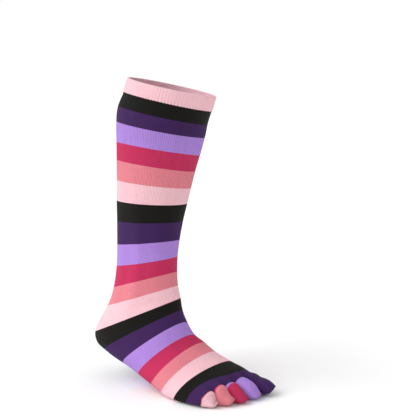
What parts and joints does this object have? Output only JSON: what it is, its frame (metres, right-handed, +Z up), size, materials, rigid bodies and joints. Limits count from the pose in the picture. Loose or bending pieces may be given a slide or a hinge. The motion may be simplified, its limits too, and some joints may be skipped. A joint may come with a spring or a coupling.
{
  "type": "toe sock",
  "caption": "Knee-high knitted toe sock in wide stripes, in the shape that it has on a right foot: a double cuff, a leg and foot tube and a pocket for each toe.",
  "frame": {"origin": "middle of the cuff's opening, which the leg goes in by", "axes": "+X forwards to the toes, +Y to the big-toe side, +Z up"},
  "size_m": [0.2243, 0.1139, 0.3529],
  "materials": {
    "cuff_knit": "matte cotton knit, light pink, double",
    "striped_knit": "matte cotton knit in stripes of black, dark purple, lavender, raspberry, salmon and light pink",
    "dark_purple_knit": "matte cotton knit, dark purple",
    "lavender_knit": "matte cotton knit, lavender",
    "raspberry_knit": "matte cotton knit, raspberry",
    "salmon_knit": "matte cotton knit, salmon",
    "light_pink_knit": "matte cotton knit, light pink"
  },
  "bodies": {
    "root": {"cuff": "cuff_knit", "leg_and_foot": "striped_knit", "big_toe": "dark_purple_knit", "second_toe": "lavender_knit", "third_toe": "raspberry_knit", "fourth_toe": "salmon_knit", "little_toe": "light_pink_knit"}
  },
  "joints": []
}
